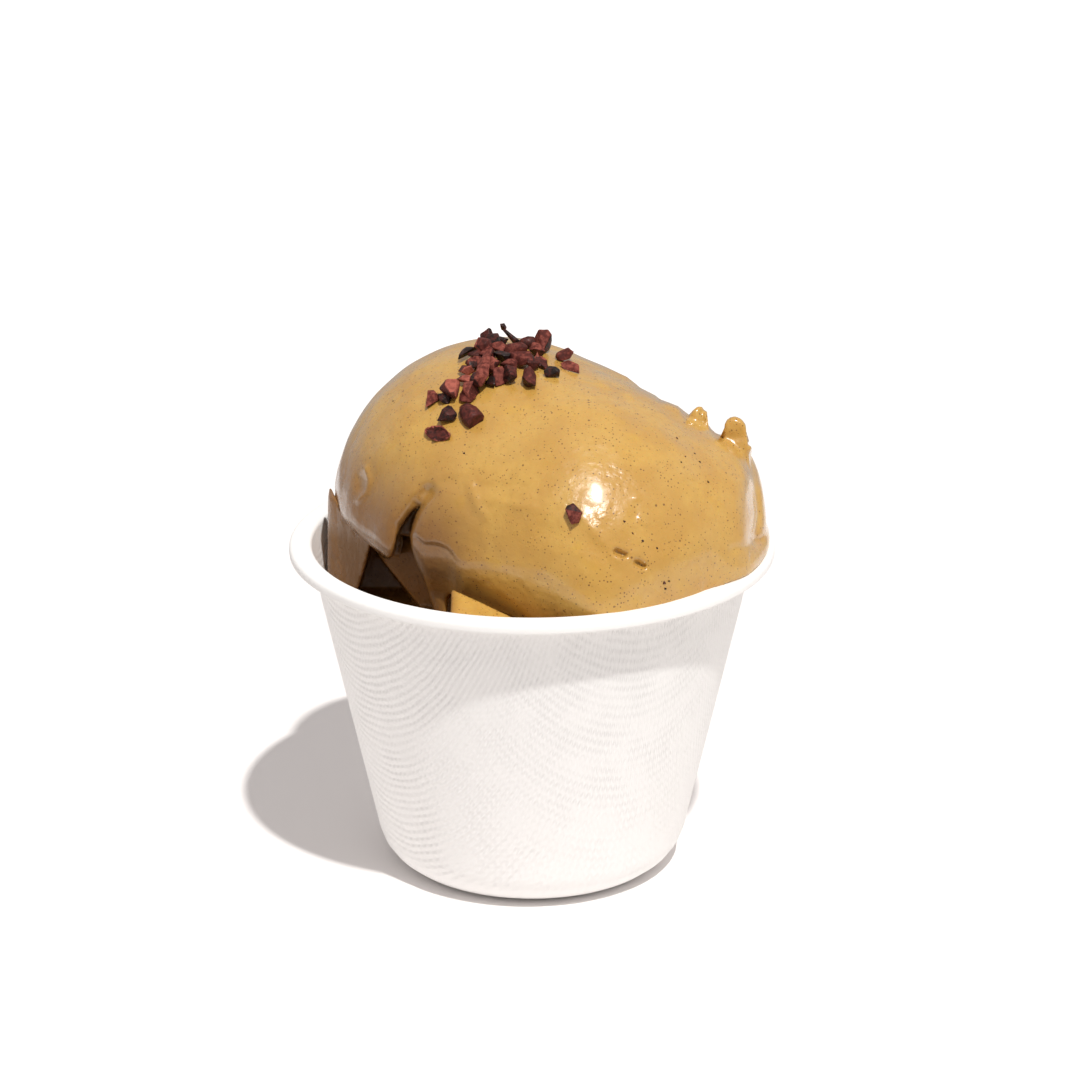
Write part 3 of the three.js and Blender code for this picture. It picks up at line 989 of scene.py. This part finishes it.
def shard_corners(rng, half, kind):
    """Points whose hull is one broken piece, in a box of the given half sizes."""
    points = []
    for number in range(SHARD_CORNERS[kind]):
        way = np.array([rng.gauss(0, 1) for _ in range(3)])
        if kind == "rod":
            way[0] = rng.choice((-1, 1)) * abs(way[0]) * 2.2
        spread = SMOOTH_SPREAD if kind in SMOOTH else BROKEN_SPREAD
        way = way / np.linalg.norm(way) * rng.uniform(*spread)
        if kind == "dome":
            way[2] = max(way[2], -0.25)
            way[0] = min(way[0], 0.35)
        if kind == "rod":
            way[1:] /= max(np.hypot(*way[1:]), 0.35) / 0.95
        if kind == "boat":
            way[1] *= 1 - 0.5 * abs(way[0])
        if kind == "stem":
            turn = 2 * math.pi * number / STEM_SIDES
            end, thin = (-1, 1) if number < STEM_SIDES else (1, STEM_TAPER)
            way = np.array([end, thin * math.cos(turn), thin * math.sin(turn)])
        points.append(way)
    points = np.array(points)
    middle = (points.max(0) + points.min(0)) / 2
    return (points - middle) * (2 * half / np.ptp(points, axis=0))


def shard(rng, size, kind):
    """Points and faces of one broken piece about the origin, and how broken each face is."""
    half = np.array(size) / 2
    mesh = bmesh.new()
    for point in shard_corners(rng, half, kind):
        mesh.verts.new(point)
    bmesh.ops.convex_hull(mesh, input=mesh.verts)
    loose = [v for v in mesh.verts if not v.link_faces]
    bmesh.ops.delete(mesh, geom=loose, context="VERTS")
    if kind not in SMOOTH:
        bmesh.ops.dissolve_limit(mesh, angle_limit=FLAT_WITHIN, verts=mesh.verts, edges=mesh.edges)
        bmesh.ops.bevel(
            mesh, geom=mesh.edges, offset=0.05 * min(size), segments=2, profile=0.5,
            affect="EDGES", clamp_overlap=True,
        )
    bmesh.ops.triangulate(mesh, faces=mesh.faces)
    for _ in range(2):
        long = [e for e in mesh.edges if e.calc_length() > LONGEST_EDGE]
        bmesh.ops.subdivide_edges(mesh, edges=long, cuts=1)
        bmesh.ops.triangulate(mesh, faces=mesh.faces)
    mesh.normal_update()
    seed = rng.random()
    spots = np.array([v.co for v in mesh.verts])
    ways = np.array([v.normal for v in mesh.verts])
    rough = 0.05 * waves(spots.T, 0.9, seed)
    if kind not in SMOOTH:
        rough = rough + 0.08 * waves(spots.T, 2, seed + 1)
    spots = spots + ways * np.asarray(rough)[:, None] * min(1, min(size))
    outward = np.hypot(spots[:, 0] / half[0], spots[:, 1] / half[1])
    if kind == "boat":
        hollow = np.sqrt(np.clip(1 - outward**2, 0, 1)) * 1.65 * half[2]
        spots[:, 2] -= np.where(spots[:, 2] > 0, hollow, 0)
    skinned = np.array([rng.gauss(0, 1), rng.gauss(0, 1), rng.gauss(0.3, 0.6)])
    skinned = skinned / np.linalg.norm(skinned)
    faces = [[v.index for v in f.verts] for f in mesh.faces]
    broken = [1.0 if f.normal.dot(skinned) > -0.2 else 0.35 for f in mesh.faces]
    if kind == "boat":
        broken = [1.8 if outward[face].mean() > 0.8 else 0.6 for face in faces]
    if kind in ("dome", "stem"):
        broken = [1.0 for _ in faces]
    mesh.free()
    return spots, faces, broken


# A line of sight is probed from so many mm in front of the aim, in small steps.
PROBE_START, PROBE_STEP, PROBES = 50, 0.25, 400


def resting(carrier, across, down, height):
    """A place so high over the carrier that shows at a pixel, or just under it, and its normal."""
    way = Vector(FORWARD) * FOCAL_PIXELS + Vector((1, 0, 0)) * (across - PICTURE / 2)
    way = (way + Vector(UPWARD) * (PICTURE / 2 - down)).normalized()
    nearest = None
    for step in range(PROBES):
        ahead = Vector(EYE) + way * (CAMERA_DISTANCE - PROBE_START + PROBE_STEP * step)
        spot, normal, _, away = carrier.find_nearest(ahead)
        if nearest is None or away < nearest[0]:
            nearest = (away, spot + normal * height, normal)
        if away <= height:
            break
    return nearest[1:]


def laid(normal, turn, upright=None):
    """Axes whose first one shows in the picture at a turn, and whose third is the normal."""
    turn = math.radians(turn)
    along = Vector((1, 0, 0)) * math.cos(turn) - Vector(UPWARD) * math.sin(turn)
    facing = Vector(FORWARD)
    if upright is None:
        upright = max(0, 1 + 1.6 * facing.dot(normal))
    lean = -along.dot(normal) / min(facing.dot(normal), -0.2)
    along = (along + facing * max(-1.5, min(1.5, lean)) * (1 - upright)).normalized()
    out = (normal - along * normal.dot(along)).normalized()
    return np.array([along, out.cross(along), out])


def scattered(carrier, scale):
    """All the nibs and the stalk, as one set of points, faces and face colours."""
    rng = random.Random(11)
    points, faces, redness = [], [], []

    def place(pixel, size, kind, height, tint, turn, axes=None, **how):
        """Breaks one piece, rests it on the carrier and gives the axes that it lies along."""
        spots, polygons, broken = shard(rng, size, kind)
        spot, normal = resting(carrier, *pixel, height)
        axes = laid(normal, turn, **how) if axes is None else axes
        start = sum(len(part) for part in points)
        points.append(spots @ axes + np.array(spot))
        faces.extend([[start + i for i in polygon] for polygon in polygons])
        redness.extend([tint * b for b in broken])
        return axes

    for pixel, size, turn, lift, tint, *kind in NIBS:
        size = [v * scale for v in size]
        height = max(lift, 0) + NIB_SUNK * size[2] + min(lift, 0)
        place(pixel, size, *(kind or ["chunk"]), height, tint, turn)
    for across, down, size in SPECKS:
        size = [v * size for v in SPECK_SHAPE]
        place((across, down), size, "chunk", SPECK_LIFT, DARK_TINT, SPECK_TURN)
    axes = place(**STALK, kind="stem", tint=STALK_TINT, upright=1.0)
    place(**STALK_HEAD, kind="chunk", tint=DARK_TINT, turn=None, axes=axes)
    return np.concatenate(points), faces, redness


class SORBET_OT_nibs(bpy.types.Operator):
    """Sprinkles the cacao nibs and one stalk on the top scoop"""

    bl_idname = "sorbet.nibs"
    bl_label = "Cacao nibs"

    def execute(self, context):
        settings = context.scene.sorbet_nibs
        scoop = bpy.data.objects["top_scoop"].data
        corners = [tuple(v.co / MM) for v in scoop.vertices]
        carrier = BVHTree.FromPolygons(corners, [tuple(f.vertices) for f in scoop.polygons])
        points, faces, redness = scattered(carrier, settings.scale)
        piece = new_piece("cacao_nibs", points, faces, nib_finish(settings))
        layer = piece.data.attributes.new("redness", "FLOAT", "FACE")
        layer.data.foreach_set("value", redness)
        return {"FINISHED"}


class SORBET_OT_top_scoop(bpy.types.Operator):
    """Moulds the folded scoop on top"""

    bl_idname = "sorbet.top_scoop"
    bl_label = "Top scoop"

    def execute(self, context):
        settings = context.scene.sorbet_scoops
        step = face_step(settings)
        points, quads = moulded(top_scoop, [lattice(*span, step) for span in TOP_SPANS])
        finish = sorbet_finish(settings, "frozen_sorbet")
        new_piece("top_scoop", points, quads, finish, ["sorbet_top_scoop"])
        return {"FINISHED"}


SENSOR = 36
SUN_ELEVATION, SUN_TURN, SUN_WIDTH = (math.radians(v) for v in (61.5, 21.5, 1.8))
BACKDROP = 1.2  # how bright the surroundings are to the camera itself
FLOOR_HALF = 0.3


def surroundings(tree, settings):
    """Surroundings that light most from above, then from the right, and least from the front."""
    sky = Nodes(tree)
    x, y, z = sky.split(sky.node("ShaderNodeTexCoord", output="Generated"))
    left, right, back, over = (way.math("MAXIMUM", way, 0.0) for way in (x * -1, x, y, z))
    low = left * settings.left_fill + right * settings.right_fill + back * settings.back_fill
    low = low + settings.side_fill
    lit = low + (settings.top_fill - low) * over
    camera = sky.node("ShaderNodeLightPath", output="Is Camera Ray")
    background = tree.nodes["Background"]
    sky.feed(background.inputs["Strength"], lit + (BACKDROP - lit) * camera)
    sky.feed(background.inputs["Color"], colour(settings.sky_colour))


class SORBET_OT_stage(bpy.types.Operator):
    """Sets the floor, the light and the camera"""

    bl_idname = "sorbet.stage"
    bl_label = "Stage"

    def execute(self, context):
        settings = context.scene.sorbet_stage
        scene = context.scene
        camera = bpy.data.cameras.new("camera")
        camera.sensor_width = SENSOR
        camera.lens = SENSOR * FOCAL_PIXELS / PICTURE
        camera.clip_end = 100
        eye = bpy.data.objects.new("camera", camera)
        eye.location = Vector(EYE) * MM
        eye.rotation_euler = (math.pi / 2 - CAMERA_ELEVATION, 0, 0)
        scene.collection.objects.link(eye)
        scene.camera = eye

        sun = bpy.data.lights.new("key", "SUN")
        sun.energy = settings.sun_strength
        sun.angle = SUN_WIDTH
        sun.color = (1, 0.985, 0.96)
        lamp = bpy.data.objects.new("key", sun)
        lamp.rotation_euler = (math.pi / 2 - SUN_ELEVATION, 0, SUN_TURN)
        scene.collection.objects.link(lamp)

        world = bpy.data.worlds.new("surroundings")
        world.use_nodes = True
        surroundings(world.node_tree, settings)
        scene.world = world
        scene.view_settings.view_transform = "Standard"

        finish = Finish("floor", Roughness=0.9)
        finish.paint(Base_Color=(0.9, 0.87, 0.86, 1))
        mesh = bpy.data.meshes.new("floor")
        ways = ((-1, -1), (1, -1), (1, 1), (-1, 1))
        mesh.from_pydata([(x * FLOOR_HALF, y * FLOOR_HALF, 0) for x, y in ways], [], [(0, 1, 2, 3)])
        mesh.materials.append(finish.material)
        floor = bpy.data.objects.new("floor", mesh)
        scene.collection.objects.link(floor)
        return {"FINISHED"}


class SORBET_PT_panel(bpy.types.Panel):
    """The pieces, in the order in which they are built"""

    bl_idname = "SORBET_PT_panel"
    bl_label = "Cup of Sorbet"
    bl_space_type = "VIEW_3D"
    bl_region_type = "UI"
    bl_category = "Sorbet"

    def draw(self, context):
        for operator in OPERATORS:
            self.layout.operator(operator.bl_idname)


OPERATORS = (
    SORBET_OT_stage,
    SORBET_OT_cup,
    SORBET_OT_lower_scoop,
    SORBET_OT_top_scoop,
    SORBET_OT_nibs,
)
GROUPS = {
    "sorbet_cup": CupSettings,
    "sorbet_scoops": SorbetSettings,
    "sorbet_nibs": NibSettings,
    "sorbet_stage": StageSettings,
}


def register():
    for group in GROUPS.values():
        bpy.utils.register_class(group)
    for name, group in GROUPS.items():
        setattr(bpy.types.Scene, name, bpy.props.PointerProperty(type=group))
    for kind in (*OPERATORS, SORBET_PT_panel):
        bpy.utils.register_class(kind)


def unregister():
    for kind in (SORBET_PT_panel, *reversed(OPERATORS)):
        bpy.utils.unregister_class(kind)
    for name in GROUPS:
        delattr(bpy.types.Scene, name)
    for group in GROUPS.values():
        bpy.utils.unregister_class(group)


def main():
    register()
    for operator in OPERATORS:
        name = operator.bl_idname.split(".")[1]
        getattr(bpy.ops.sorbet, name)()


if __name__ == "__main__":
    main()
